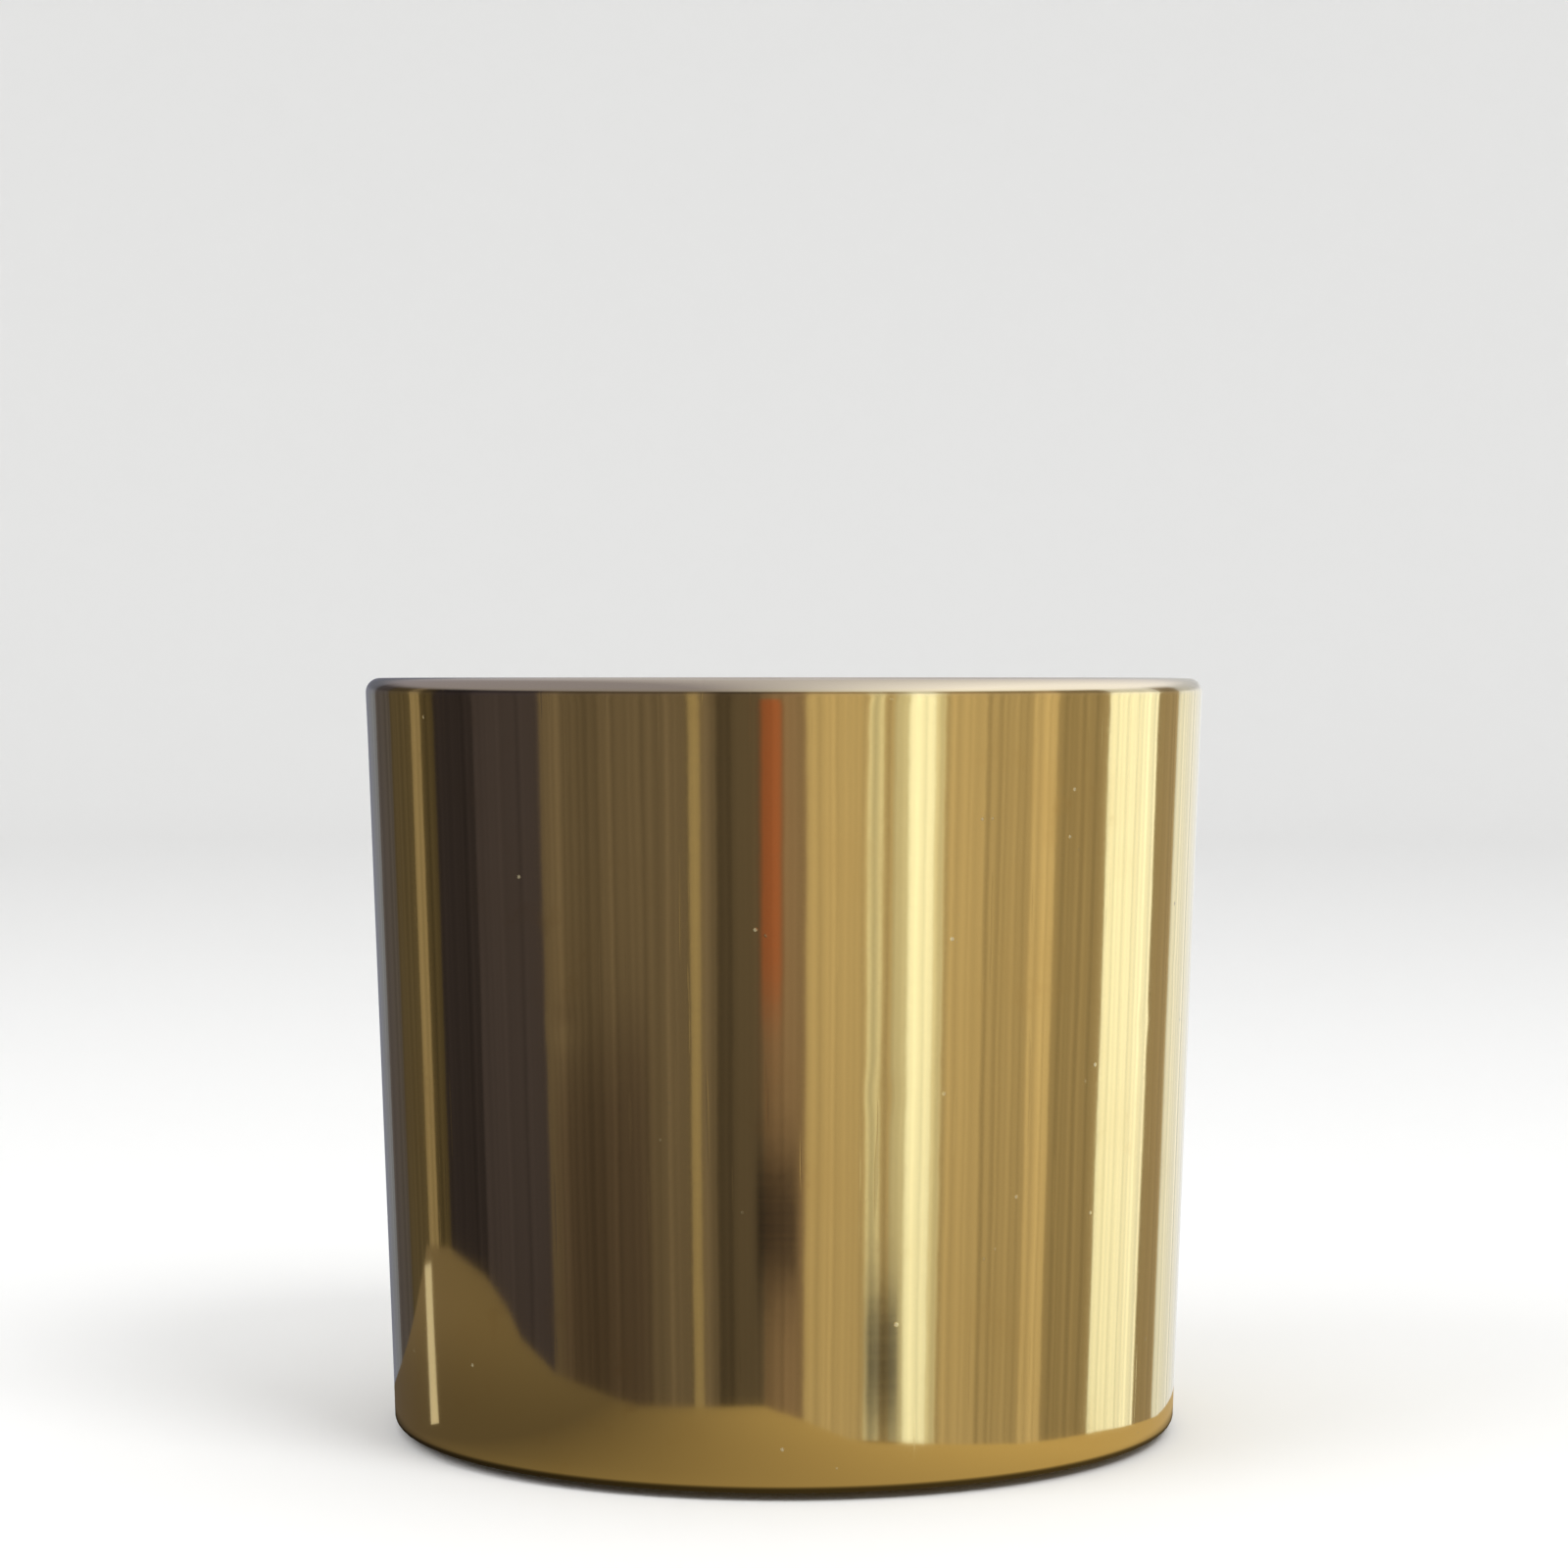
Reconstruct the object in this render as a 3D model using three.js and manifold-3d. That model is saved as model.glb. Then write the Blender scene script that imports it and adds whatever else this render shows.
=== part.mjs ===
// A tapered planter pot in polished brass sheet. The wall is rolled inwards at the rim and turned in
// under a base disc, and the pot stands on four rubber feet. Inside it, a drip saucer carries a
// plastic grow pot, and both lift out. Millimetres, +Z up, origin on the floor under the pot's centre.
import * as THREE from "three";
import { mergeVertices } from "three/addons/utils/BufferGeometryUtils.js";
import Module from "manifold-3d";

const wasm = await Module();
wasm.setup();

// The pot: its outside, its sheet metal and its feet.
const overallHeight = 215;
const rimRadius = 120;
const footRadius = 112;
const sheet = 1;
const footGap = 2; // daylight under the wall's lower edge
const rimRollRadius = 4;
const rimRollEnd = 285; // how far the rolled edge turns, in degrees from straight out
const footCornerRadius = 2.5;
const footFlangeRadius = 100; // inner edge of the flange that carries the base disc
const baseDiscRadius = 109.8;
const baseDiscThickness = 1.2;
const basePanelRadius = 70; // the middle of the disc is pressed up to stiffen it
const basePanelStep = 4;
const basePanelRise = 2;
const rubberFootRadius = 9;
const rubberFootCircle = 87;
const rubberFootBevel = 0.8;
const rubberFootCount = 4;

// The drip saucer.
const saucerFloorRadius = 84;
const saucerRimRadius = 96;
const saucerHeight = 22;
const saucerWall = 1.6;
const saucerCornerRadius = 4;
const saucerRibHeight = 2;
const saucerRibWidth = 3;
const saucerRibRadii = [64, 38];

// The grow pot.
const growPotWall = 1.6;
const growPotHeight = 184;
const growPotBaseRadius = 76;
const growPotShoulderRadius = 96;
const growPotMouthRadius = 100;
const growPotShoulderDrop = 34; // shoulder below the lip
const growPotShoulderStep = 2;
const growPotLipWidth = 6;
const growPotSkirtHeight = 10;
const growPotCornerRadius = 5;
const drainHoleRadius = 5;
const drainHoleCircle = 57.5; // close inside the saucer's outer rib
const drainHoleCount = 4;

// How finely round shapes are cut, and the air between two pieces that touch.
const roundSegments = 64;
const holeSegments = 24;
const footSegments = 32;
const drillLength = 16;
const clearance = 0.3;

const rubberFootHeight = footGap + sheet;
const baseDiscZ = footGap + sheet + clearance;
const saucerZ = baseDiscZ + basePanelRise + baseDiscThickness + clearance;
const growPotZ = saucerZ + saucerWall + saucerRibHeight + clearance;

const brass = new THREE.MeshStandardMaterial({ color: 0xe6c878, roughness: 0.08, metalness: 1 });
const satinBrass = new THREE.MeshStandardMaterial({ color: 0xc9ab68, roughness: 0.35, metalness: 1 });
const rubber = new THREE.MeshStandardMaterial({ color: 0x1b1a19, roughness: 0.8, metalness: 0 });
const glossPlastic = new THREE.MeshStandardMaterial({ color: 0x262829, roughness: 0.3, metalness: 0 });
const mattPlastic = new THREE.MeshStandardMaterial({ color: 0x1f2021, roughness: 0.6, metalness: 0 });

function point(radius, z) {
  return new THREE.Vector2(radius, z);
}

// The angle of copy i out of count, spaced evenly and clear of the X and Y axes.
function evenAngle(i, count) {
  return ((i + 0.5) / count) * 2 * Math.PI;
}

// Points along a circular arc in a profile, from one angle to another in degrees.
function arc(centre, radius, fromAngle, toAngle, steps) {
  return Array.from({ length: steps + 1 }, (_, i) => {
    const angle = THREE.MathUtils.degToRad(fromAngle + ((toAngle - fromAngle) * i) / steps);
    return point(centre.x + radius * Math.cos(angle), centre.y + radius * Math.sin(angle));
  });
}

// Turns a profile about the Z axis. The profile closes on itself, or starts and ends on the axis.
function turned(profile, segments = roundSegments) {
  const closed = profile[0].x > 0 ? [...profile, profile[0]] : profile;
  return new THREE.LatheGeometry(closed, segments).rotateX(Math.PI / 2);
}

// A closed geometry as a solid that can be cut, and back again.
function solidFrom(geometry) {
  const bare = geometry.clone();
  bare.deleteAttribute("normal");
  bare.deleteAttribute("uv");
  const merged = mergeVertices(bare, 1e-4);
  return new wasm.Manifold(
    new wasm.Mesh({
      numProp: 3,
      vertProperties: merged.attributes.position.array,
      triVerts: new Uint32Array(merged.index.array),
    }),
  );
}

function geometryFrom(solid) {
  const mesh = solid.getMesh();
  const geometry = new THREE.BufferGeometry();
  geometry.setAttribute("position", new THREE.BufferAttribute(mesh.vertProperties, 3));
  geometry.setIndex(new THREE.BufferAttribute(mesh.triVerts, 1));
  return geometry;
}

function piece(name, geometry, material) {
  const mesh = new THREE.Mesh(geometry, material);
  mesh.name = name;
  return mesh;
}

// The wall: a turned-in flange, a small corner, the leaning side and the inward roll of the rim.
// The sheet's two faces share the centres of both bends.
function potWall() {
  const lean = Math.atan2(rimRadius - footRadius, overallHeight - footGap);
  const outsideAt = (z) => footRadius + (z - footGap) * Math.tan(lean);
  const bendAt = (z, radius) => point(outsideAt(z) - radius / Math.cos(lean), z);
  const corner = bendAt(footGap + footCornerRadius, footCornerRadius);
  const roll = bendAt(overallHeight - rimRollRadius, rimRollRadius);
  const leanAngle = -THREE.MathUtils.radToDeg(lean);
  return turned([
    point(footFlangeRadius, footGap),
    ...arc(corner, footCornerRadius, -90, leanAngle, 3),
    ...arc(roll, rimRollRadius, leanAngle, rimRollEnd, 12),
    ...arc(roll, rimRollRadius - sheet, rimRollEnd, leanAngle, 9),
    ...arc(corner, footCornerRadius - sheet, leanAngle, -90, 2),
    point(footFlangeRadius, footGap + sheet),
  ]);
}

// The base disc lies on the flange, with its middle pressed up.
function baseDisc() {
  const panelFoot = basePanelRadius + basePanelStep;
  const underside = baseDiscZ;
  const topside = baseDiscZ + baseDiscThickness;
  return turned([
    point(0, underside + basePanelRise),
    point(basePanelRadius, underside + basePanelRise),
    point(panelFoot, underside),
    point(baseDiscRadius, underside),
    point(baseDiscRadius, topside),
    point(panelFoot, topside),
    point(basePanelRadius, topside + basePanelRise),
    point(0, topside + basePanelRise),
  ]);
}

function rubberFoot() {
  return turned(
    [
      point(0, 0),
      point(rubberFootRadius - rubberFootBevel, 0),
      point(rubberFootRadius, rubberFootBevel),
      point(rubberFootRadius, rubberFootHeight),
      point(0, rubberFootHeight),
    ],
    footSegments,
  );
}

// The saucer: a flat floor with round ribs that the grow pot stands on, and a low flared side.
function dripSaucer() {
  const corner = point(saucerFloorRadius, saucerCornerRadius);
  const edge = point(saucerRimRadius - saucerWall / 2, saucerHeight - saucerWall / 2);
  const flare = THREE.MathUtils.radToDeg(
    Math.atan2(saucerRimRadius - saucerFloorRadius - saucerCornerRadius, saucerHeight - saucerCornerRadius),
  );
  const ribs = saucerRibRadii.flatMap((radius) => [
    point(radius + saucerRibWidth / 2, saucerWall),
    point(radius + saucerRibWidth / 2, saucerWall + saucerRibHeight),
    point(radius - saucerRibWidth / 2, saucerWall + saucerRibHeight),
    point(radius - saucerRibWidth / 2, saucerWall),
  ]);
  return turned([
    point(0, 0),
    ...arc(corner, saucerCornerRadius, -90, -flare, 3),
    ...arc(edge, saucerWall / 2, 0, 180, 3),
    ...arc(corner, saucerCornerRadius - saucerWall, -flare, -90, 2),
    ...ribs,
    point(0, saucerWall),
  ]);
}

// The grow pot: a flat floor, a leaning side with a shoulder, and a lip with a skirt.
function growPotBody() {
  const shoulderZ = growPotHeight - growPotShoulderDrop;
  const lowSlope = (growPotShoulderRadius - growPotBaseRadius) / (shoulderZ - growPotCornerRadius);
  const lowLean = THREE.MathUtils.radToDeg(Math.atan(lowSlope));
  const corner = point(growPotBaseRadius - growPotCornerRadius, growPotCornerRadius);
  const lipRadius = growPotMouthRadius + growPotLipWidth;
  const aboveShoulder = growPotShoulderRadius + growPotShoulderStep;
  return turned([
    point(0, 0),
    ...arc(corner, growPotCornerRadius, -90, -lowLean, 3),
    point(growPotShoulderRadius, shoulderZ),
    point(aboveShoulder, shoulderZ + growPotShoulderStep),
    point(growPotMouthRadius, growPotHeight - growPotWall),
    point(lipRadius - growPotWall, growPotHeight - growPotWall),
    point(lipRadius - growPotWall, growPotHeight - growPotSkirtHeight),
    point(lipRadius, growPotHeight - growPotSkirtHeight),
    point(lipRadius, growPotHeight - growPotWall / 2),
    point(lipRadius - growPotWall / 2, growPotHeight),
    point(growPotMouthRadius - growPotWall / 2, growPotHeight),
    point(growPotMouthRadius - growPotWall, growPotHeight - growPotWall / 2),
    point(aboveShoulder - growPotWall, shoulderZ + growPotShoulderStep),
    point(growPotShoulderRadius - growPotWall, shoulderZ),
    ...arc(corner, growPotCornerRadius - growPotWall, -lowLean, -90, 2),
    point(0, growPotWall),
  ]);
}

// The drain holes go straight down through the floor, and the first of them is towards +X.
function growPot() {
  let solid = solidFrom(growPotBody());
  for (let i = 0; i < drainHoleCount; i++) {
    const drill = new THREE.CylinderGeometry(drainHoleRadius, drainHoleRadius, drillLength, holeSegments);
    drill.rotateX(Math.PI / 2).translate(drainHoleCircle, 0, 0);
    solid = solid.subtract(solidFrom(drill.rotateZ((i / drainHoleCount) * 2 * Math.PI)));
  }
  return geometryFrom(solid);
}

const planter = new THREE.Group();

const pot = new THREE.Group();
pot.add(piece("pot_wall", potWall(), brass));
pot.add(piece("base_disc", baseDisc(), satinBrass));
for (let i = 0; i < rubberFootCount; i++) {
  const foot = piece(`rubber_foot_${i + 1}`, rubberFoot(), rubber);
  const angle = evenAngle(i, rubberFootCount);
  foot.position.set(rubberFootCircle * Math.cos(angle), rubberFootCircle * Math.sin(angle), 0);
  pot.add(foot);
}
planter.add(pot);

const saucer = piece("drip_saucer", dripSaucer(), glossPlastic);
saucer.position.z = saucerZ;
planter.add(saucer);

const nurseryPot = piece("grow_pot", growPot(), mattPlastic);
nurseryPot.position.z = growPotZ;
planter.add(nurseryPot);

export default planter;
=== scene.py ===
import math

import bmesh
import bpy
import numpy as np
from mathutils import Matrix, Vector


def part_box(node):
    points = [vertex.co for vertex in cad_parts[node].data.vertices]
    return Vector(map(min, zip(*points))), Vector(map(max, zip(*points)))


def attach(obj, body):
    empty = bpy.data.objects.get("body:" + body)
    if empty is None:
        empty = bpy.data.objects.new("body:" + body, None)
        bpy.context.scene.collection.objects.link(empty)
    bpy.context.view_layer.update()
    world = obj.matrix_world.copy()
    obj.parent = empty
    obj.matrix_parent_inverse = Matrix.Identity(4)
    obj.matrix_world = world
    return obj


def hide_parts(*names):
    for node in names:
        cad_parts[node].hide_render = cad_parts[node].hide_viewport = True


# A polished brass planter pot with its drip saucer and grow pot, on a pale floor. Metres, +Z up.
# Angles round the pot are counted from the side that faces the camera (-Y), towards +X.

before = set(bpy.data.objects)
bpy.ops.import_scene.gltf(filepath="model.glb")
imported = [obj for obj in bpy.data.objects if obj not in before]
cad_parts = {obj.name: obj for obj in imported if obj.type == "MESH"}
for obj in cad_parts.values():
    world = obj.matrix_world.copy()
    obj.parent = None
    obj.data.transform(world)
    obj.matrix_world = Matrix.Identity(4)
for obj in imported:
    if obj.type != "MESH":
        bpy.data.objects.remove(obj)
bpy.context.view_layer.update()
mm = 0.001
fullTurn = 2 * math.pi

potSize = {
    "rimRadius": 120 * mm,
    "footRadius": 112 * mm,
    "height": float(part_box("pot_wall")[1][2]),
    "footGap": float(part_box("pot_wall")[0][2]),  # daylight under the wall
}
potSize["lean"] = math.atan2(
    potSize["rimRadius"] - potSize["footRadius"], potSize["height"] - potSize["footGap"]
)


def arcPoints(centre, radius, start, end, count):
    # the centre plus radius times (cos a, sin a), where a runs from start to end in degrees
    a = np.radians(np.linspace(start, end, count))
    return np.column_stack([centre[0] + radius * np.cos(a), centre[1] + radius * np.sin(a)])


def linePoints(start, end, count):
    # evenly spaced points from start to end, both of them included
    t = np.linspace(0, 1, count)[:, None]
    return (1 - t) * np.asarray(start) + t * np.asarray(end)


def roundedOutline(corners, closed, arcSteps=6, longest=4 * mm):
    # Corners are (r, z, bend radius). Each is swapped for an arc that touches both its sides, and
    # what is left of each side is cut into equal lengths.
    corners = np.asarray(corners, dtype=float)
    pieces = []
    for i, (r, z, bend) in enumerate(corners):
        here = np.array([r, z])
        if bend == 0:
            pieces.append(here[None, :])
            continue
        toLast = corners[i - 1, :2] - here
        toNext = corners[(i + 1) % len(corners), :2] - here
        toLast, toNext = toLast / np.linalg.norm(toLast), toNext / np.linalg.norm(toNext)
        half = math.acos(np.clip(toLast @ toNext, -1, 1)) / 2
        middle = (toLast + toNext) / np.linalg.norm(toLast + toNext)
        centre = here + middle * bend / math.sin(half)
        start = here + toLast * bend / math.tan(half) - centre
        end = here + toNext * bend / math.tan(half) - centre
        turn = math.atan2(start[0] * end[1] - start[1] * end[0], start @ end)
        a = math.atan2(start[1], start[0]) + np.linspace(0, turn, arcSteps + 1)
        pieces.append(centre + bend * np.column_stack([np.cos(a), np.sin(a)]))
    outline = []
    for i, piece in enumerate(pieces):
        outline.append(piece)
        if i + 1 < len(pieces) or closed:
            following = pieces[(i + 1) % len(pieces)][0]
            cuts = int(np.linalg.norm(following - piece[-1]) / longest) + 1
            outline.append(linePoints(piece[-1], following, cuts + 1)[1:-1])
    return np.vstack(outline)


def spin(outline, angles):
    # an outline (r, z) carried round the upright axis: x = r sin a, y = -r cos a
    r, z = outline[:, :1], outline[:, 1:]
    return np.stack([r * np.sin(angles), -r * np.cos(angles), z + 0 * angles], axis=2)


def evenAngles(count):
    return np.arange(count) * fullTurn / count


def meshFromGrid(name, grid, closed, attributes=None):
    # Rows follow the outline and columns go round. The columns always join up, and the rows do
    # where the outline is closed. Rows that lie on the axis shrink to one point.
    rows, columns = grid.shape[:2]
    index = np.arange(rows * columns).reshape(rows, columns)
    index = np.hstack([index, index[:, :1]])
    if closed:
        index = np.vstack([index, index[:1]])
    faces = np.stack([index[:-1, :-1], index[:-1, 1:], index[1:, 1:], index[1:, :-1]], axis=2)
    mesh = bpy.data.meshes.new(name)
    mesh.from_pydata(grid.reshape(-1, 3).tolist(), [], faces.reshape(-1, 4).tolist())
    for key, values in (attributes or {}).items():
        layer = mesh.attributes.new(key, "FLOAT", "POINT")
        layer.data.foreach_set("value", np.asarray(values, dtype=np.float32).ravel())
    finishMesh(mesh)
    piece = bpy.data.objects.new(name, mesh)
    bpy.context.scene.collection.objects.link(piece)
    return piece


def finishMesh(mesh):
    # merges doubled points, turns every face outwards and shades them smooth
    work = bmesh.new()
    work.from_mesh(mesh)
    bmesh.ops.remove_doubles(work, verts=work.verts, dist=1e-7)
    bmesh.ops.dissolve_degenerate(work, edges=work.edges, dist=1e-8)
    bmesh.ops.recalc_face_normals(work, faces=work.faces)
    work.to_mesh(mesh)
    work.free()
    mesh.shade_smooth()


def place(piece, material, body, slot, *nodes):
    piece.data.materials.append(material)
    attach(piece, body)
    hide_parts(*nodes)
    return piece


def newMaterial(name, **values):
    material = bpy.data.materials.new(name)
    material.use_nodes = True
    shader = material.node_tree.nodes["Principled BSDF"]
    for key, value in values.items():
        shader.inputs[key].default_value = value
    return material.node_tree, shader, material


def addNode(tree, kind, inputs=None, **settings):
    # a node with its settings, and its inputs linked to sockets or set to plain values
    node = tree.nodes.new(kind)
    for key, value in settings.items():
        setattr(node, key, value)
    for key, value in (inputs or {}).items():
        if isinstance(value, bpy.types.NodeSocket):
            tree.links.new(value, node.inputs[key])
        else:
            node.inputs[key].default_value = value
    return node


def maths(tree, operation, *values):
    node = addNode(tree, "ShaderNodeMath", dict(enumerate(values)), operation=operation)
    return node.outputs[0]


def remap(tree, value, low, high, newLow, newHigh, smooth=True):
    node = addNode(
        tree,
        "ShaderNodeMapRange",
        {"Value": value, "From Min": low, "From Max": high, "To Min": newLow, "To Max": newHigh},
        interpolation_type="SMOOTHSTEP" if smooth else "LINEAR",
    )
    return node.outputs["Result"]


def noise(tree, vector, scale, detail=3.0, roughness=0.5):
    node = addNode(
        tree,
        "ShaderNodeTexNoise",
        {"Vector": vector, "Scale": scale, "Detail": detail, "Roughness": roughness},
    )
    return node.outputs["Fac"]


def blend(tree, amount, first, second):
    node = addNode(tree, "ShaderNodeMix", data_type="RGBA")
    for key, value in {0: amount, 6: first, 7: second}.items():
        if isinstance(value, bpy.types.NodeSocket):
            tree.links.new(value, node.inputs[key])
        else:
            node.inputs[key].default_value = value
    return node.outputs[2]


def stretched(tree, vector, x, y, z):
    node = addNode(tree, "ShaderNodeVectorMath", {0: vector, 1: (x, y, z)}, operation="MULTIPLY")
    return node.outputs["Vector"]


def length(tree, vector):
    return addNode(tree, "ShaderNodeVectorMath", {0: vector}, operation="LENGTH").outputs["Value"]


def scaled(tree, vector, amount):
    inputs = {0: vector, "Scale": amount}
    return addNode(tree, "ShaderNodeVectorMath", inputs, operation="SCALE").outputs["Vector"]


def places(tree):
    # the point in the pot's frame, the same point on the unrolled sheet, and its height
    point = addNode(tree, "ShaderNodeTexCoord").outputs["Object"]
    split = addNode(tree, "ShaderNodeSeparateXYZ", {"Vector": point})
    x, y, z = split.outputs
    angle = maths(tree, "ARCTAN2", x, maths(tree, "MULTIPLY", y, -1.0))
    across = maths(tree, "MULTIPLY", angle, potSize["rimRadius"])
    sheet = addNode(tree, "ShaderNodeCombineXYZ", {"X": across, "Y": z}).outputs["Vector"]
    return point, sheet, z


def bump(tree, height, distance, strength=1.0, normal=None):
    inputs = {"Height": height, "Distance": distance, "Strength": strength}
    if normal is not None:
        inputs["Normal"] = normal
    return addNode(tree, "ShaderNodeBump", inputs).outputs["Normal"]


brassFinish = {
    "colour": (0.90, 0.77, 0.37, 1),
    "handled": (0.86, 0.70, 0.31, 1),  # where hands have dulled it
    "rimHighlightTint": (0.86, 0.77, 0.58, 1),  # painted highlight: the rolled edge is tinted paler so it shows whiter in the metal
    "roughness": 0.075,
    "smudgeRoughness": 0.05,
    "speckColour": (0.48, 0.44, 0.37, 1),
    "speckSize": 0.055,
    "rimBand": 5 * mm,
}


def polishedBrass():
    tree, shader, material = newMaterial(
        "polishedBrass", **{"Coat Weight": 0.55, "Coat Roughness": 0.03, "Coat IOR": 1.5}
    )
    point, sheet, z = places(tree)
    smudge = remap(tree, noise(tree, sheet, 17, 4), 0.48, 0.70, 0, 1)
    prints = remap(tree, noise(tree, sheet, 95, 5, 0.6), 0.52, 0.72, 0, 1)
    smudge = maths(tree, "MULTIPLY", smudge, maths(tree, "MULTIPLY_ADD", prints, 0.7, 0.3))
    polish = noise(tree, stretched(tree, sheet, 14, 900, 1), 1, 3)  # faint lines left by the buff
    hairs = noise(tree, stretched(tree, sheet, 500, 16, 1), 1, 2)  # hairlines down the sheet
    hairs = remap(tree, hairs, 0.66, 0.74, 0, 1)
    cells = addNode(
        tree, "ShaderNodeTexVoronoi", {"Vector": point, "Scale": 170.0, "Randomness": 1.0}
    )
    chosen = remap(tree, noise(tree, point, 60, 1), 0.62, 0.68, 0, 0.5)
    specks = remap(tree, cells.outputs["Distance"], brassFinish["speckSize"], 0.12, 1, 0)
    specks = maths(tree, "MULTIPLY", specks, chosen)
    top = potSize["height"]
    # the rolled edge's band: it carries the painted highlight tint and a rougher finish
    rim = remap(tree, z, top - brassFinish["rimBand"], top - 2 * mm, 0, 1)
    inside = addNode(tree, "ShaderNodeAttribute", attribute_name="inside").outputs["Fac"]

    colour = blend(tree, smudge, brassFinish["colour"], brassFinish["handled"])
    # painted highlight: the rolled edge gets a paler base colour, standing in for the light it catches
    colour = blend(tree, rim, colour, brassFinish["rimHighlightTint"])
    colour = blend(tree, specks, colour, brassFinish["speckColour"])
    tree.links.new(colour, shader.inputs["Base Color"])
    tree.links.new(remap(tree, specks, 0, 1, 1, 0.35), shader.inputs["Metallic"])

    roughness = brassFinish["roughness"]
    buffed = maths(tree, "SUBTRACT", polish, 0.5)
    for mask, amount in (
        (smudge, brassFinish["smudgeRoughness"]),
        (buffed, 0.03),
        (specks, 0.35),
        (hairs, 0.05),
        (rim, 0.10),
        (inside, 0.16),
    ):
        roughness = maths(tree, "MULTIPLY_ADD", mask, amount, roughness)
    tree.links.new(roughness, shader.inputs["Roughness"])

    peel = noise(tree, stretched(tree, point, 1, 1, 0.55), 130, 2)
    normal = bump(tree, peel, 0.000010)
    normal = bump(tree, hairs, -0.000004, normal=normal)
    normal = bump(tree, specks, 0.00003, normal=normal)
    tree.links.new(normal, shader.inputs["Normal"])
    return material


discFinish = {
    "colour": (0.76, 0.62, 0.32, 1),
    "stained": (0.52, 0.38, 0.18, 1),
    "roughness": (0.26, 0.44),  # in the smoothest and the roughest of its turning marks
}


def satinBrass():
    tree, shader, material = newMaterial("satinBrass", **{"Metallic": 1.0})
    point, sheet, z = places(tree)
    turned = maths(tree, "MULTIPLY", length(tree, stretched(tree, point, 1, 1, 0)), 1800.0)
    rings = addNode(tree, "ShaderNodeTexNoise", {"W": turned}, noise_dimensions="1D").outputs["Fac"]
    stain = remap(tree, noise(tree, point, 30, 5), 0.45, 0.72, 0, 1)
    colour = blend(tree, stain, discFinish["colour"], discFinish["stained"])
    tree.links.new(colour, shader.inputs["Base Color"])
    tree.links.new(remap(tree, rings, 0.2, 0.8, *discFinish["roughness"]), shader.inputs["Roughness"])
    tree.links.new(bump(tree, rings, 0.00002), shader.inputs["Normal"])
    return material


def mouldedPlastic(name, colour, scuffed, roughness, grainScale, grainDepth):
    # dark plastic with a fine moulded grain, pale scuffs and a little dust
    tree, shader, material = newMaterial(name, **{"Specular IOR Level": 0.45})
    point, sheet, z = places(tree)
    grain = noise(tree, point, grainScale, 2, 0.6)
    cloud = remap(tree, noise(tree, point, 22, 5, 0.6), 0.45, 0.75, 0, 1)
    scuffs = remap(tree, noise(tree, stretched(tree, sheet, 260, 26, 1), 1, 3), 0.62, 0.72, 0, 1)
    scuffs = maths(tree, "MULTIPLY", scuffs, cloud)
    mix = maths(tree, "MULTIPLY_ADD", cloud, 0.35, maths(tree, "MULTIPLY", scuffs, 0.5))
    tree.links.new(blend(tree, mix, colour, scuffed), shader.inputs["Base Color"])
    rough = maths(tree, "MULTIPLY_ADD", maths(tree, "SUBTRACT", grain, 0.5), 0.2, roughness)
    rough = maths(tree, "MULTIPLY_ADD", cloud, 0.12, rough)
    tree.links.new(rough, shader.inputs["Roughness"])
    normal = bump(tree, grain, grainDepth)
    tree.links.new(bump(tree, scuffs, -0.00001, normal=normal), shader.inputs["Normal"])
    return material


view = {
    "distance": 1.12,  # from the pot's axis
    "height": 217 * mm,  # just over the rim
    "aimHeight": 184.4 * mm,
    "frameWidth": 452 * mm,  # across the picture, at the pot's axis
}


def makeCamera():
    data = bpy.data.cameras.new("camera")
    data.sensor_width = 36.0
    data.lens = data.sensor_width * view["distance"] / view["frameWidth"]
    data.clip_start, data.clip_end = 0.05, 50.0
    camera = bpy.data.objects.new("camera", data)
    camera.location = (0, -view["distance"], view["height"])
    tilt = math.atan2(view["height"] - view["aimHeight"], view["distance"])
    camera.rotation_euler = (math.pi / 2 - tilt, 0, 0)
    bpy.context.scene.collection.objects.link(camera)
    bpy.context.scene.camera = camera


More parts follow.
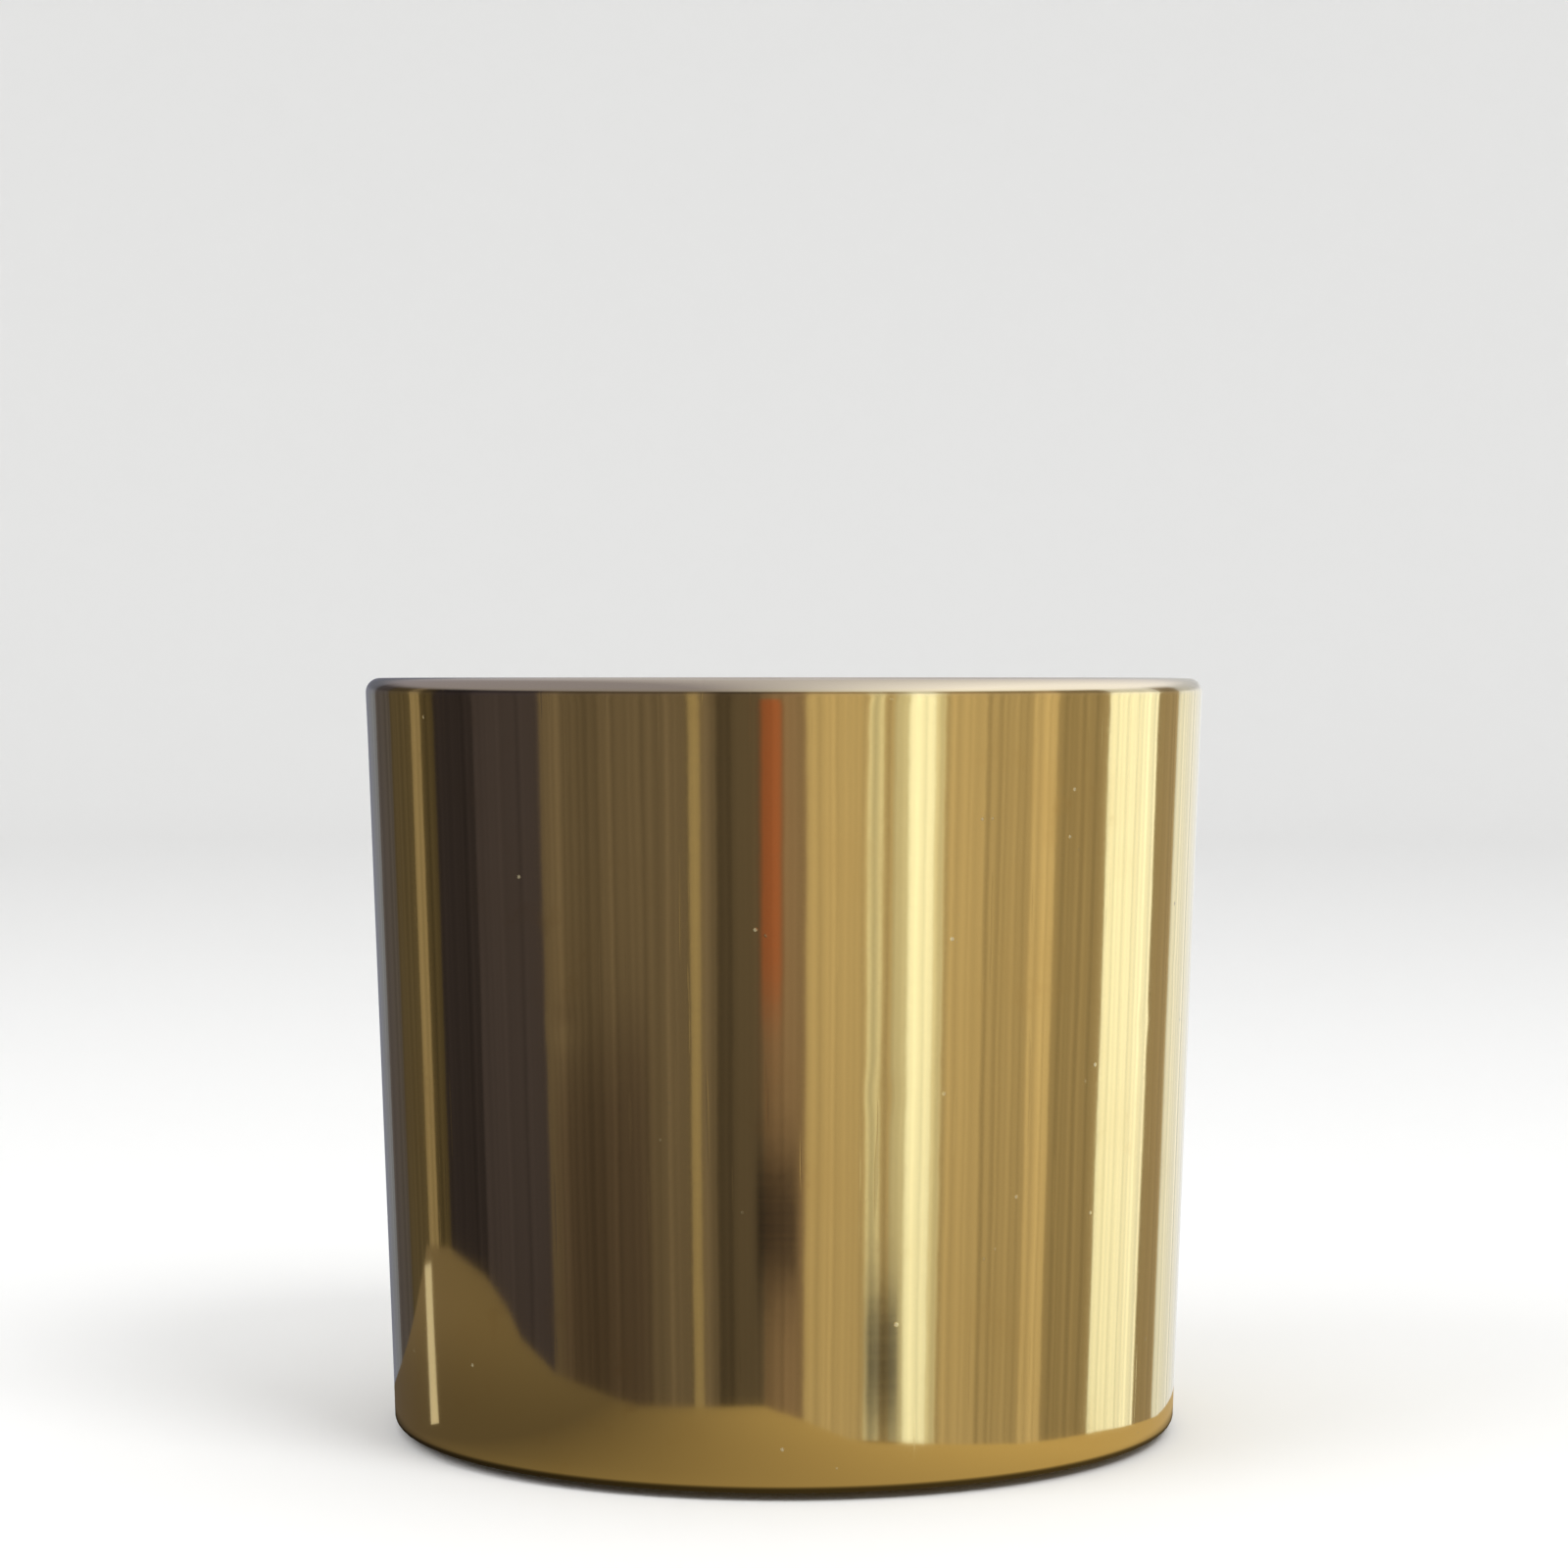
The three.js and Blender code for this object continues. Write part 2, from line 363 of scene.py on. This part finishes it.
room = {
    # The studio that shows in the metal, as upright screens: (first angle, brightness, tint). An angle
    # is in degrees from the camera's side, to the right, and a screen ends where the next starts.
    "screens": [
        (-180, 0.21, "cool"), (-151, 0.083, "stone"), (-137, 0.09, "warm"), (-123.5, 0.27, "warm"),
        (-117, 0.075, "warm"), (-110, 0.029, "dusk"), (-93, 0.055, "dusk"), (-69, 0.15, "brown"),
        (-61, 0.115, "brown"), (-52, 0.14, "brown"), (-33, 0.15, "brown"), (-26, 0.33, "warm"),
        (-22.5, 0.16, "brown"), (-18.5, 0.07, "brown"), (-14.5, 0.11, "brown"), (-7, 0.20, "clay"),
        (-3.5, 0.25, "clay"), (5.5, 0.52, "warm"), (22.5, 0.66, "cream"), (25.5, 0.48, "warm"),
        (29.5, 0.60, "cream"), (33, 1.14, "white"), (39.5, 0.66, "cream"), (43, 0.52, "warm"),
        (56, 0.43, "warm"), (70, 0.54, "warm"), (73, 0.63, "warm"), (78.5, 0.33, "warm"),
        (98, 1.10, "white"), (122, 0.34, "warm"), (136, 0.86, "white"),
    ],
    "tints": {
        "white": (1.0, 1.0, 1.0),
        "cream": (1.0, 0.91, 0.76),
        "cool": (0.95, 1.0, 1.25),
        "stone": (1.0, 0.88, 1.0),
        "warm": (1.0, 0.77, 0.51),
        "brown": (1.0, 0.77, 0.66),
        "clay": (1.0, 0.69, 0.54),
        "dusk": (1.0, 0.82, 1.20),
    },
    # Things that stand before the screens, each with its own colour: (angle, half width, bottom, top,
    # softness of those two ends, colour). Bottom and top are how steeply the eye looks up at them.
    "things": [
        (-52, 17, -0.50, -0.160, 0.020, (0.60, 0.57, 0.62)),
        (-3.5, 3.2, -0.16, -0.05, 0.004, (1.5, 0.72, 0.50)),
        (-2, 6.5, -0.230, -0.198, 0.006, (0.16, 0.17, 0.24)),
        (27.5, 5.5, -0.262, -0.230, 0.005, (0.20, 0.21, 0.27)),
    ],
    "dimCeiling": (0.28, 0.26, 0.30, 1),  # to the left
    "brightCeiling": (1.05, 1.04, 1.08, 1),  # to the right
    "sway": 0.03,  # how far the screens' edges wander, in radians
    "folds": (0.5, 1.5),  # brightness of the darkest and the brightest fold in a screen
    "foldScale": 34.0,
    "pale": (0.94, 0.94, 0.935, 1),
}


def makeWorld():
    world = bpy.data.worlds.new("studio")
    bpy.context.scene.world = world
    world.use_nodes = True
    tree = world.node_tree
    tree.nodes.clear()
    way = addNode(tree, "ShaderNodeTexCoord").outputs["Generated"]
    x, y, z = addNode(tree, "ShaderNodeSeparateXYZ", {"Vector": way}).outputs
    turn = maths(tree, "ARCTAN2", x, maths(tree, "MULTIPLY", y, -1.0))
    sway = maths(tree, "SUBTRACT", noise(tree, stretched(tree, way, 5, 5, 11), 1, 3), 0.5)
    turn = maths(tree, "MULTIPLY_ADD", sway, room["sway"], turn)
    share = maths(tree, "MULTIPLY_ADD", turn, 1 / fullTurn, 0.5)
    ramp = addNode(tree, "ShaderNodeValToRGB", {"Fac": share})
    ramp.color_ramp.interpolation = "CONSTANT"
    stops = ramp.color_ramp.elements
    stops.remove(stops[1])
    for angle, brightness, tint in room["screens"]:
        stop = stops[0] if angle == -180 else stops.new((angle + 180) / 360)
        stop.color = (*(brightness * np.array(room["tints"][tint])), 1)
    grain = {"W": turn, "Scale": room["foldScale"], "Detail": 5.0, "Roughness": 0.7}
    folds = addNode(tree, "ShaderNodeTexNoise", grain, noise_dimensions="1D").outputs["Fac"]
    folds = remap(tree, folds, 0.25, 0.75, *room["folds"], smooth=False)
    screens = scaled(tree, ramp.outputs["Color"], folds)
    # the screens are dimmer towards their tops and their feet
    shade = remap(tree, z, 0.02, 0.12, 1.0, 0.65)
    shade = maths(tree, "MULTIPLY", shade, remap(tree, z, -0.28, -0.10, 0.84, 1.0))
    screens = scaled(tree, screens, shade)
    for angle, half, bottom, top, soft, tint in room["things"]:
        off = maths(tree, "ABSOLUTE", maths(tree, "SUBTRACT", turn, math.radians(angle)))
        thing = remap(tree, off, math.radians(0.65 * half), math.radians(1.1 * half), 1, 0)
        thing = maths(tree, "MULTIPLY", thing, remap(tree, z, bottom - soft, bottom + soft, 0, 1))
        thing = maths(tree, "MULTIPLY", thing, remap(tree, z, top - soft, top + soft, 1, 0))
        tinted = addNode(tree, "ShaderNodeVectorMath", {0: screens, 1: tint}, operation="MULTIPLY")
        screens = blend(tree, thing, screens, tinted.outputs["Vector"])
    rightward = remap(tree, x, -0.35, 0.7, 0, 1, smooth=False)
    ceiling = blend(tree, rightward, room["dimCeiling"], room["brightCeiling"])
    shiny = blend(tree, remap(tree, z, 0.22, 0.42, 0, 1), screens, ceiling)
    rays = addNode(tree, "ShaderNodeLightPath")
    seen = blend(tree, rays.outputs["Is Glossy Ray"], (0.95, 0.95, 0.95, 1), shiny)
    seen = blend(tree, rays.outputs["Is Camera Ray"], seen, room["pale"])
    light = addNode(tree, "ShaderNodeBackground", {"Color": seen, "Strength": 1.0})
    addNode(tree, "ShaderNodeOutputWorld", {"Surface": light.outputs[0]})


def makeBackdrop():
    # a flat floor that turns up into a round wall
    outline = np.vstack([
        [[0, 0]],
        linePoints((0.4, 0), (4.0, 0), 10),
        arcPoints((4.0, 2.0), 2.0, -90, 0, 24)[1:],
        [[6.0, 5.0]],
    ])
    backdrop = meshFromGrid("backdrop", spin(outline, evenAngles(96)), closed=False)
    backdrop.data.flip_normals()
    tree, shader, material = newMaterial(
        "paleFloor", **{"Base Color": (0.88, 0.88, 0.875, 1), "Roughness": 0.9, "Specular IOR Level": 0.1}
    )
    backdrop.data.materials.append(material)
    backdrop.visible_glossy = False


tableCard = {
    # its edge as (angle, distance from the pot's axis): a front that stands out a little, a wing far
    # out to the left, and a narrow shelf the rest of the way round
    "edge": [
        (-180, 132), (-113, 132), (-109, 390), (-97, 391), (-80, 347), (-70, 301), (-64, 264),
        (-51, 225), (-30, 200), (-4, 206), (4, 191), (12, 170), (45, 150), (64, 144), (86, 131),
        (180, 132),
    ],
    "points": 720,
    "dark": (0.105, 0.078, 0.052, 1),
    "light": (0.53, 0.38, 0.19, 1),
    "darkEnd": -120 * mm,
    "lightEnd": 110 * mm,
    # a strip of light that lies on it, as (angle, distance, half width) at its two ends
    "stripEnds": [(-75, 136, 3), (-107, 352, 12)],
    "stripLight": (0.60, 0.53, 0.46, 1),
}


def onTable(angle, distance, height):
    a = np.radians(angle)
    return np.stack([distance * np.sin(a), -distance * np.cos(a), height + 0 * a], axis=-1) * mm


def makeTableCard():
    # a flat card under the pot, which only the metal sees: it puts a warm foot under the streaks
    a = np.linspace(-180, 180, tableCard["points"], endpoint=False)
    angle, reach = np.array(tableCard["edge"], dtype=float).T
    tree, glow = reflectedCard("tableCard", onTable(a, np.interp(a, angle, reach), 0.4))
    point = addNode(tree, "ShaderNodeTexCoord").outputs["Object"]
    x, y, z = addNode(tree, "ShaderNodeSeparateXYZ", {"Vector": point}).outputs
    across = remap(tree, x, tableCard["darkEnd"], tableCard["lightEnd"], 0, 1, smooth=False)
    radius = length(tree, point)
    tree.links.new(blend(tree, across, tableCard["dark"], tableCard["light"]), glow.inputs["Color"])
    # the pot's own shadow darkens the card beside its foot, and the card is paler far out
    strength = remap(tree, radius, 112 * mm, 122 * mm, 0.12, 1)
    strength = maths(tree, "MULTIPLY", strength, remap(tree, radius, 130 * mm, 300 * mm, 1, 1.6))
    tree.links.new(strength, glow.inputs["Strength"])

    ends = [onTable(angle, distance, 0.8) for angle, distance, width in tableCard["stripEnds"]]
    side = np.cross(ends[1] - ends[0], (0, 0, 1))
    side = side / np.linalg.norm(side) * mm
    near, far = [width for angle, distance, width in tableCard["stripEnds"]]
    corners = [ends[0] + near * side, ends[1] + far * side, ends[1] - far * side, ends[0] - near * side]
    tree, glow = reflectedCard("tableStrip", np.array(corners))
    glow.inputs["Color"].default_value = tableCard["stripLight"]


def reflectedCard(name, points):
    # a flat glowing card that shows only in reflections
    mesh = bpy.data.meshes.new(name)
    mesh.from_pydata(points.tolist(), [], [range(len(points))])
    card = bpy.data.objects.new(name, mesh)
    bpy.context.scene.collection.objects.link(card)
    material = bpy.data.materials.new(name)
    material.use_nodes = True
    tree = material.node_tree
    tree.nodes.clear()
    glow = addNode(tree, "ShaderNodeEmission")
    addNode(tree, "ShaderNodeOutputMaterial", {"Surface": glow.outputs[0]})
    mesh.materials.append(material)
    card.visible_camera = card.visible_diffuse = card.visible_shadow = card.visible_transmission = False
    return tree, glow


def makeLight(name, spot, aim, size, power):
    data = bpy.data.lights.new(name, "AREA")
    data.shape, data.size, data.energy = "DISK", size, power
    light = bpy.data.objects.new(name, data)
    light.location = spot
    way = np.subtract(aim, spot)
    light.rotation_euler = (
        math.atan2(math.hypot(way[0], way[1]), -way[2]), 0, math.atan2(way[1], way[0]) - math.pi / 2
    )
    light.visible_glossy = False
    bpy.context.scene.collection.objects.link(light)


print("stage and camera")
bpy.context.scene.view_settings.view_transform = "Standard"
makeCamera()
makeWorld()
makeBackdrop()
makeTableCard()
makeLight("key", (1.3, -1.5, 2.2), (0, 0, 0.1), 1.4, 34)
makeLight("fill", (-1.8, -1.0, 1.6), (0, 0, 0.1), 1.8, 18)


wall = {
    "sheet": 1 * mm,
    "rollRadius": 4 * mm,
    "rollEnd": 285,  # how far the rolled edge turns
    "footCorner": 2.5 * mm,
    "flangeRadius": 100 * mm,
    "columns": 512,
    "rippleDepth": 0.020 * mm,
    "seamDepth": 0.10 * mm,
    "seamWidth": 0.45 * mm,
    "dings": 6,
    "dingDepth": 0.035 * mm,
}


def wallOutline():
    # the sheet's outer face from the flange up over the rolled rim, and its inner face back down
    lean, sheet = potSize["lean"], wall["sheet"]
    tilt = -math.degrees(lean)

    def bendCentre(z, radius):
        # where an arc of that radius touches the leaning side from inside
        outside = potSize["footRadius"] + (z - potSize["footGap"]) * math.tan(lean)
        return outside - radius / math.cos(lean), z

    foot = bendCentre(potSize["footGap"] + wall["footCorner"], wall["footCorner"])
    roll = bendCentre(potSize["height"] - wall["rollRadius"], wall["rollRadius"])
    low, high = potSize["footGap"], potSize["footGap"] + sheet
    footOuter = arcPoints(foot, wall["footCorner"], -90, tilt, 9)
    rollOuter = arcPoints(roll, wall["rollRadius"], tilt, wall["rollEnd"], 40)
    rollInner = arcPoints(roll, wall["rollRadius"] - sheet, wall["rollEnd"], tilt, 30)
    footInner = arcPoints(foot, wall["footCorner"] - sheet, tilt, -90, 6)
    end = math.radians(wall["rollEnd"])
    middle = wall["rollRadius"] - sheet / 2
    edge = (roll[0] + middle * math.cos(end), roll[1] + middle * math.sin(end))
    outer = [
        [[wall["flangeRadius"] + 0.1 * mm, low]],
        linePoints((wall["flangeRadius"] + 0.8 * mm, low), footOuter[0], 5)[:-1],
        footOuter,
        linePoints(footOuter[-1], rollOuter[0], 76)[1:-1],
        rollOuter,
        arcPoints(edge, sheet / 2, wall["rollEnd"], wall["rollEnd"] + 180, 7)[1:-1],
    ]
    inner = [
        rollInner,
        linePoints(rollInner[-1], footInner[0], 22)[1:-1],
        footInner,
        linePoints(footInner[-1], (wall["flangeRadius"] + 0.8 * mm, high), 4)[1:],
        [[wall["flangeRadius"] + 0.1 * mm, high], [wall["flangeRadius"], (low + high) / 2]],
    ]
    outer, inner = np.vstack(outer), np.vstack(inner)
    return np.vstack([outer, inner]), len(outer)


def wallRipple(angles, z):
    # How far the sheet stands in from a true cone: a few slow waves round and up the sheet, a groove
    # along the upright seam at the back, and some shallow dings. It fades out at the rim and foot.
    rng = np.random.default_rng(7)
    waves = 0
    for order in (3, 5, 8, 13, 19, 27):
        phase, rise, size = rng.uniform(0, fullTurn), rng.uniform(-18, 18), rng.uniform(0.6, 1.0)
        waves = waves + size / order**0.75 * np.cos(order * angles + phase + rise * z)
    depth = wall["rippleDepth"] * (waves + 3)
    across = potSize["rimRadius"] * (np.mod(angles, fullTurn) - math.pi)
    depth = depth + wall["seamDepth"] * np.exp(-((across / wall["seamWidth"]) ** 2))
    for _ in range(wall["dings"]):
        a, height, spread = rng.uniform(0, fullTurn), rng.uniform(0.03, 0.18), rng.uniform(3, 6) * mm
        around = potSize["rimRadius"] * (np.mod(angles - a + math.pi, fullTurn) - math.pi)
        depth = depth + wall["dingDepth"] * np.exp(-(around**2 + (z - height) ** 2) / spread**2)
    fade = np.clip((z - potSize["footGap"]) / (12 * mm), 0, 1)
    fade = fade * np.clip((potSize["height"] - 4 * mm - z) / (14 * mm), 0, 1)
    return depth * fade**2 * (3 - 2 * fade)


def makeWall():
    outline, outerRows = wallOutline()
    seam = math.pi + np.linspace(-2.5, 2.5, 26) * mm / potSize["rimRadius"]
    angles = np.unique(np.round(np.concatenate([evenAngles(wall["columns"]), seam]), 6))
    grid = spin(outline, angles)
    ripple = wallRipple(angles[None, :], outline[:, 1:])
    flange = outline[:, :1] < potSize["footRadius"] - wall["footCorner"]
    ripple = np.where(flange, 0, ripple)
    grid[:, :, 0] -= ripple * np.sin(angles)
    grid[:, :, 1] += ripple * np.cos(angles)
    inside = np.zeros(grid.shape[:2])
    inside[outerRows:] = 1
    piece = meshFromGrid("brassWall", grid, closed=True, attributes={"inside": inside})
    place(piece, brass, "pot", "polished_brass", "pot_wall")


brass = polishedBrass()
makeWall()
print("brass wall")


disc = {
    "radius": 109.8 * mm,
    "sheet": 1.2 * mm,
    "panelRadius": 70 * mm,
    "panelStep": 4 * mm,
    "panelRise": 2 * mm,
    "bend": 1.6 * mm,
    "edge": 0.4 * mm,
    "columns": 256,
}


def makeBaseDisc():
    # a flat disc whose middle is pressed up, drawn as its underside and then its top
    low = float(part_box("base_disc")[0][2])
    bend, rise, foot = disc["bend"], disc["panelRise"], disc["panelRadius"] + disc["panelStep"]
    high = low + disc["sheet"]
    outline = roundedOutline(
        [
            (0, low + rise, 0),
            (disc["panelRadius"], low + rise, bend),
            (foot, low, bend),
            (disc["radius"], low, disc["edge"]),
            (disc["radius"], high, disc["edge"]),
            (foot, high, bend),
            (disc["panelRadius"], high + rise, bend),
            (0, high + rise, 0),
        ],
        closed=False,
    )
    piece = meshFromGrid("baseDisc", spin(outline, evenAngles(disc["columns"])), closed=False)
    place(piece, satinBrass(), "pot", "satin_brass", "base_disc")


foot = {
    "edge": 0.8 * mm,
    "grooveRadius": 5 * mm,
    "grooveWidth": 1.2 * mm,
    "grooveDepth": 0.5 * mm,
    "columns": 96,
    "rubber": {
        "colour": (0.018, 0.017, 0.016, 1),
        "scuffed": (0.07, 0.066, 0.06, 1),
        "roughness": 0.72,
        "grainScale": 1500,
        "grainDepth": 0.00006,
    },
}


def makeFoot(number, material):
    # a round rubber pad with a grip groove in its underside
    low, high = (np.array(corner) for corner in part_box(f"rubber_foot_{number}"))
    radius, height = (high[0] - low[0]) / 2, high[2] - low[2]
    inner = foot["grooveRadius"]
    outer = inner + foot["grooveWidth"]
    outline = roundedOutline(
        [
            (0, 0, 0),
            (inner, 0, 0.2 * mm),
            (inner + 0.3 * mm, foot["grooveDepth"], 0.2 * mm),
            (outer - 0.3 * mm, foot["grooveDepth"], 0.2 * mm),
            (outer, 0, 0.2 * mm),
            (radius, 0, foot["edge"]),
            (radius, height, 0.3 * mm),
            (0, height, 0),
        ],
        closed=False,
        longest=1.5 * mm,
    )
    grid = spin(outline, evenAngles(foot["columns"]))
    grid += np.array([(low[0] + high[0]) / 2, (low[1] + high[1]) / 2, low[2]])
    piece = meshFromGrid(f"rubberFoot{number}", grid, closed=False)
    place(piece, material, "pot", "foot_rubber", f"rubber_foot_{number}")


makeBaseDisc()
footRubber = mouldedPlastic("footRubber", **foot["rubber"])
for number in range(1, 5):
    makeFoot(number, footRubber)
print("base disc and feet")


saucer = {
    "floorRadius": 84 * mm,
    "rimRadius": 96 * mm,
    "height": 22 * mm,
    "skin": 1.6 * mm,
    "corner": 4 * mm,
    "ribRadii": (64 * mm, 38 * mm),
    "ribHeight": 2 * mm,
    "ribWidth": 3 * mm,
    "columns": 288,
    "plastic": {
        "colour": (0.024, 0.025, 0.026, 1),
        "scuffed": (0.075, 0.075, 0.07, 1),
        "roughness": 0.30,
        "grainScale": 500,
        "grainDepth": 0.000012,
    },
}


def makeSaucer():
    # the underside out to the rim, over it, and back across the floor with its ribs
    low = float(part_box("drip_saucer")[0][2])
    skin, top = saucer["skin"], low + saucer["height"]
    flare = (saucer["rimRadius"] - saucer["floorRadius"] - saucer["corner"]) / saucer["height"]
    footRadius = saucer["rimRadius"] - flare * saucer["height"]
    corners = [
        (0, low, 0),
        (footRadius, low, saucer["corner"]),
        (saucer["rimRadius"], top, 0.78 * mm),
        (saucer["rimRadius"] - skin, top, 0.78 * mm),
        (footRadius - skin, low + skin, saucer["corner"] - skin),
    ]
    for middle in saucer["ribRadii"]:
        half = saucer["ribWidth"] / 2
        crest = low + skin + saucer["ribHeight"]
        corners += [
            (middle + half + 0.2 * mm, low + skin, 0.5 * mm),
            (middle + half - 0.2 * mm, crest, 0.5 * mm),
            (middle - half + 0.2 * mm, crest, 0.5 * mm),
            (middle - half - 0.2 * mm, low + skin, 0.5 * mm),
        ]
    corners.append((0, low + skin, 0))
    outline = roundedOutline(corners, closed=False)
    piece = meshFromGrid("dripSaucer", spin(outline, evenAngles(saucer["columns"])), closed=False)
    finish = mouldedPlastic("saucerPlastic", **saucer["plastic"])
    place(piece, finish, "saucer", "saucer_plastic", "drip_saucer")


makeSaucer()
print("drip saucer")


growPot = {
    "skin": 1.6 * mm,
    "height": 184 * mm,
    "baseRadius": 76 * mm,
    "shoulderRadius": 96 * mm,
    "mouthRadius": 100 * mm,
    "shoulderDrop": 34 * mm,
    "shoulderStep": 2 * mm,
    "lipWidth": 6 * mm,
    "skirt": 10 * mm,
    "corner": 5 * mm,
    "flutes": 32,
    "fluteDepth": 0.7 * mm,
    "columns": 384,
    "drainHoles": (4, 57.5 * mm, 5 * mm),  # how many, on what circle, hole radius
    "plastic": {
        "colour": (0.020, 0.020, 0.020, 1),
        "scuffed": (0.085, 0.082, 0.076, 1),
        "roughness": 0.52,
        "grainScale": 900,
        "grainDepth": 0.00003,
    },
}


def growPotOutline(low):
    # the outside from the floor's middle up to the lip and its skirt, then the inside back down
    skin, top = growPot["skin"], low + growPot["height"]
    lip = growPot["mouthRadius"] + growPot["lipWidth"]
    shoulderZ = top - growPot["shoulderDrop"]
    step, shoulder = growPot["shoulderStep"], growPot["shoulderRadius"]
    sideHeight = growPot["height"] - growPot["shoulderDrop"] - growPot["corner"]
    slope = (shoulder - growPot["baseRadius"]) / sideHeight
    baseRadius = growPot["baseRadius"] - slope * growPot["corner"]
    edge = 0.75 * mm
    corners = [
        (0, low, 0),
        (baseRadius, low, growPot["corner"]),
        (shoulder, shoulderZ, 1.5 * mm),
        (shoulder + step, shoulderZ + step, 1.5 * mm),
        (growPot["mouthRadius"], top - skin, 0.6 * mm),
        (lip - skin, top - skin, 0.4 * mm),
        (lip - skin, top - growPot["skirt"], edge),
        (lip, top - growPot["skirt"], edge),
        (lip, top, 1.4 * mm),
        (growPot["mouthRadius"] - skin, top, 1.4 * mm),
        (shoulder + step - skin, shoulderZ + step, 1.5 * mm),
        (shoulder - skin, shoulderZ, 1.5 * mm),
        (baseRadius - skin, low + skin, growPot["corner"] - skin),
        (0, low + skin, 0),
    ]
    return roundedOutline(corners, closed=False, longest=3 * mm)


def drillHoles(piece, low):
    # cuts the drain holes out of the grow pot's floor with round drills, then drops the drills
    count, circle, radius = growPot["drainHoles"]
    drills = []
    for a in evenAngles(count):
        outline = np.array([[0, -8 * mm], [radius, -8 * mm], [radius, 8 * mm], [0, 8 * mm]])
        rod = spin(outline, evenAngles(40)) + [circle * math.sin(a), -circle * math.cos(a), low]
        drills.append(meshFromGrid("drill", rod, closed=False))
    for drill in drills:
        cut = piece.modifiers.new("hole", "BOOLEAN")
        cut.operation, cut.solver, cut.object = "DIFFERENCE", "EXACT", drill
    graph = bpy.context.evaluated_depsgraph_get()
    mesh = bpy.data.meshes.new_from_object(piece.evaluated_get(graph))
    piece.modifiers.clear()
    piece.data = mesh
    for drill in drills:
        bpy.data.objects.remove(drill)


def makeGrowPot():
    low = float(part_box("grow_pot")[0][2])
    outline = growPotOutline(low)
    angles = evenAngles(growPot["columns"])
    grid = spin(outline, angles)
    # shallow upright flutes on the lower side, which fade out at both ends
    z = outline[:, 1:] - low
    rise = np.clip((z - 22 * mm) / (8 * mm), 0, 1) * np.clip((142 * mm - z) / (8 * mm), 0, 1)
    crest = np.maximum(0, np.cos(growPot["flutes"] * angles)) ** 1.5
    depth = growPot["fluteDepth"] * rise**2 * (3 - 2 * rise) * crest
    grid[:, :, 0] -= depth * np.sin(angles)
    grid[:, :, 1] += depth * np.cos(angles)
    piece = meshFromGrid("growPot", grid, closed=False)
    drillHoles(piece, low)
    finishMesh(piece.data)
    finish = mouldedPlastic("growPotPlastic", **growPot["plastic"])
    place(piece, finish, "grow_pot", "grow_pot_plastic", "grow_pot")


makeGrowPot()
print("grow pot")
